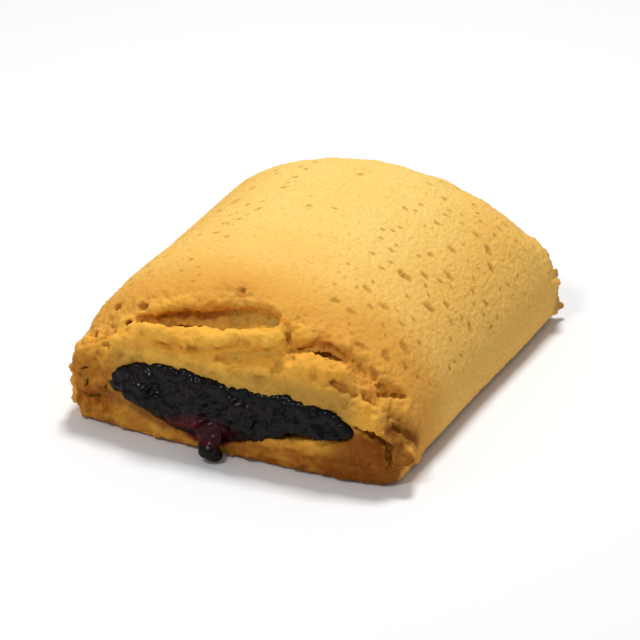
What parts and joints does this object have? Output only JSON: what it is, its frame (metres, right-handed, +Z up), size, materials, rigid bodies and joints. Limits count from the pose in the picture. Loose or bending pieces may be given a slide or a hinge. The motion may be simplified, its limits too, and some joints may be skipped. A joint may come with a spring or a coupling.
{
  "type": "filled shortbread cookie",
  "caption": "Short arched bar of crumbly shortbread baked round a dark berry jam filling that shows at both cut ends, with a set drip at the front.",
  "frame": {"origin": "on the ground under the middle of the cookie's bounding box, drip included", "axes": "+X across the bar, +Y along it from the cut end with the drip to the other cut end, +Z up"},
  "size_m": [0.0462, 0.0566, 0.0212],
  "materials": {
    "baked_dough": "dry baked crust, sandy and matt, golden on the dome and browner at the cut ends",
    "berry_jam": "thick dark jam, wet gloss, crimson where it is thin"
  },
  "bodies": {
    "root": {"dough": "baked_dough", "jam": "berry_jam"}
  },
  "joints": []
}
